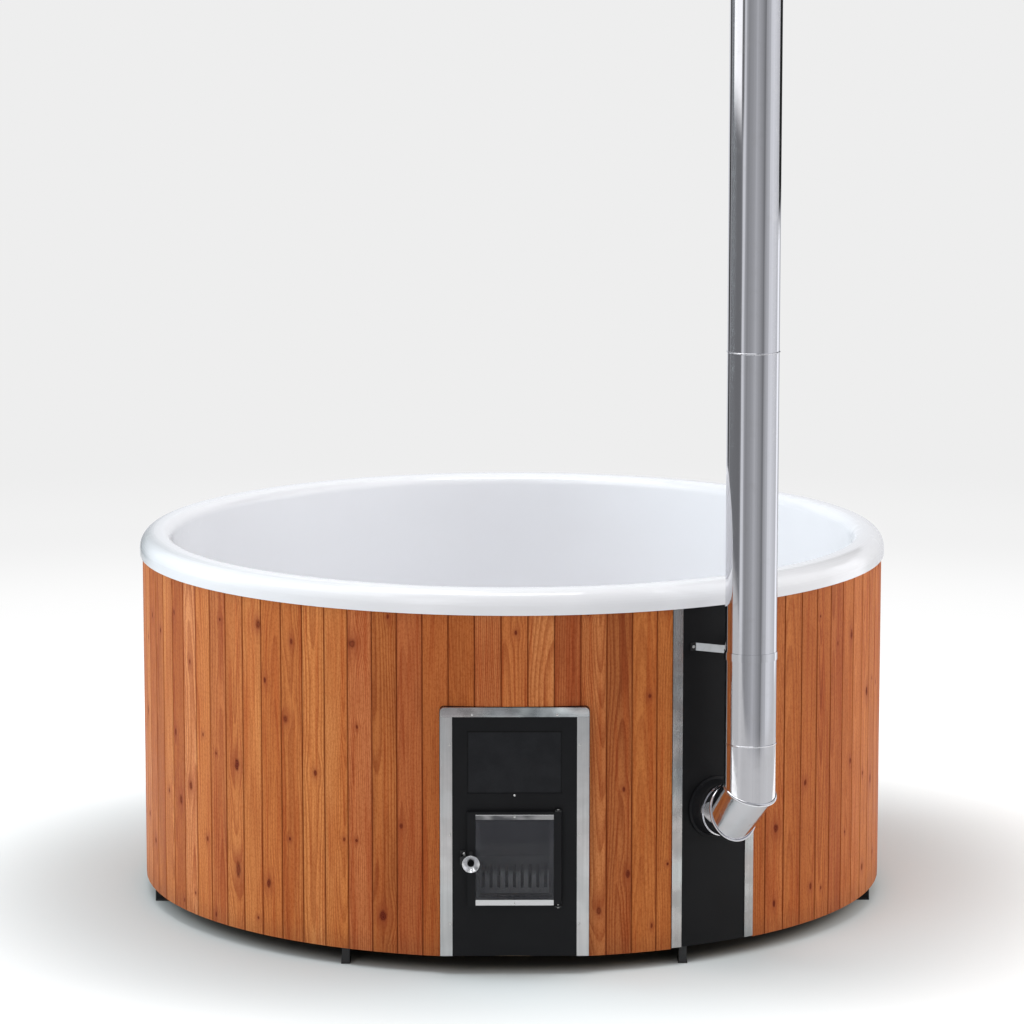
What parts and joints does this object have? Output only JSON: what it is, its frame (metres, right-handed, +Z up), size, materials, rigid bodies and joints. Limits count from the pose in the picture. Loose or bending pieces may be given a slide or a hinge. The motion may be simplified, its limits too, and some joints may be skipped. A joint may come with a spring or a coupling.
{
  "type": "wood-fired hot tub",
  "caption": "Round wood-clad hot tub with a white moulded liner, a built-in wood-fired heater with a glazed door, and a tall steel flue beside it.",
  "frame": {"origin": "on the ground under the tub's vertical axis", "axes": "+Z up, -Y out through the heater's door, +X to the viewer's right when facing the door"},
  "size_m": [2.043, 2.246, 2.7004],
  "materials": {
    "boards": "satin",
    "liner_shell": "gloss",
    "plywood": "matte",
    "foam": "matte",
    "frame_steel": "satin",
    "rubber": "matte",
    "black_plastic": "matte",
    "black_steel": "satin",
    "satin_steel": "satin",
    "polished_steel": "polished",
    "fasteners": "satin",
    "door_glass": "gloss",
    "seal_rope": "matte",
    "firebox_steel": "matte",
    "cast_iron": "matte",
    "nickel_brass": "satin",
    "red_lever": "satin"
  },
  "bodies": {
    "tub": {"foot_pads": "rubber", "frame_rails": "frame_steel", "cross_tubes": "frame_steel", "tube_end_caps": "black_plastic", "floor_deck": "plywood", "floor_insulation": "foam", "liner": "liner_shell", "rim_core": "plywood", "wall_insulation": "foam", "bench_supports": "plywood", "cladding_hoops": "plywood", "cladding_front": "boards", "cladding_left": "boards", "cladding_right": "boards", "cladding_rear": "boards", "front_panel": "black_steel", "stove_side_trims": "satin_steel", "stove_top_trim": "satin_steel", "trim_screws": "fasteners", "cover_plate": "black_steel", "cover_screw": "fasteners", "hinge_lugs": "black_steel", "hinge_pins": "fasteners", "latch_keeper": "black_steel", "keeper_screw": "fasteners", "firebox": "firebox_steel", "water_jacket": "satin_steel", "door_throat": "black_steel", "grate": "cast_iron", "ember_guard": "cast_iron", "water_pipes": "satin_steel", "pipe_flanges": "polished_steel", "water_grilles": "polished_steel", "smoke_duct": "firebox_steel", "flue_panel": "black_steel", "flue_trims": "satin_steel", "flue_collar": "black_steel", "elbow_clamp": "polished_steel", "flue_elbow": "polished_steel", "flue_lower_pipe": "polished_steel", "flue_upper_pipe": "polished_steel", "flue_bracket": "satin_steel", "pipe_clamp": "polished_steel", "bracket_screws": "fasteners", "rain_cap": "polished_steel", "floor_drain": "polished_steel", "drain_pipe": "black_plastic", "valve_body": "nickel_brass"},
    "stove_door": {"door_frame": "black_steel", "door_glass": "door_glass", "glass_strips": "satin_steel", "strip_screws": "fasteners", "door_seal": "seal_rope"},
    "door_handle": {"handle_shaft": "black_steel", "handle_knob": "polished_steel", "handle_nut": "black_plastic"},
    "drain_lever": {"valve_ball": "nickel_brass", "valve_lever": "red_lever", "valve_nut": "fasteners"}
  },
  "joints": [
    {"name": "stove_door_hinge", "type": "hinge", "parent": "tub", "child": "stove_door", "pos_m": [0.111, -1.027, 0.306], "axis": [0, 0, 1], "range_deg": [0, 110]},
    {"name": "door_handle_turn", "type": "hinge", "parent": "stove_door", "child": "door_handle", "pos_m": [-0.1115, -1.032, 0.3062], "axis": [0, -1, 0], "range_deg": [0, 90]},
    {"name": "drain_lever_turn", "type": "hinge", "parent": "tub", "child": "drain_lever", "pos_m": [0, 1.06, 0.024], "axis": [0, 0, 1], "range_deg": [0, 90]}
  ]
}
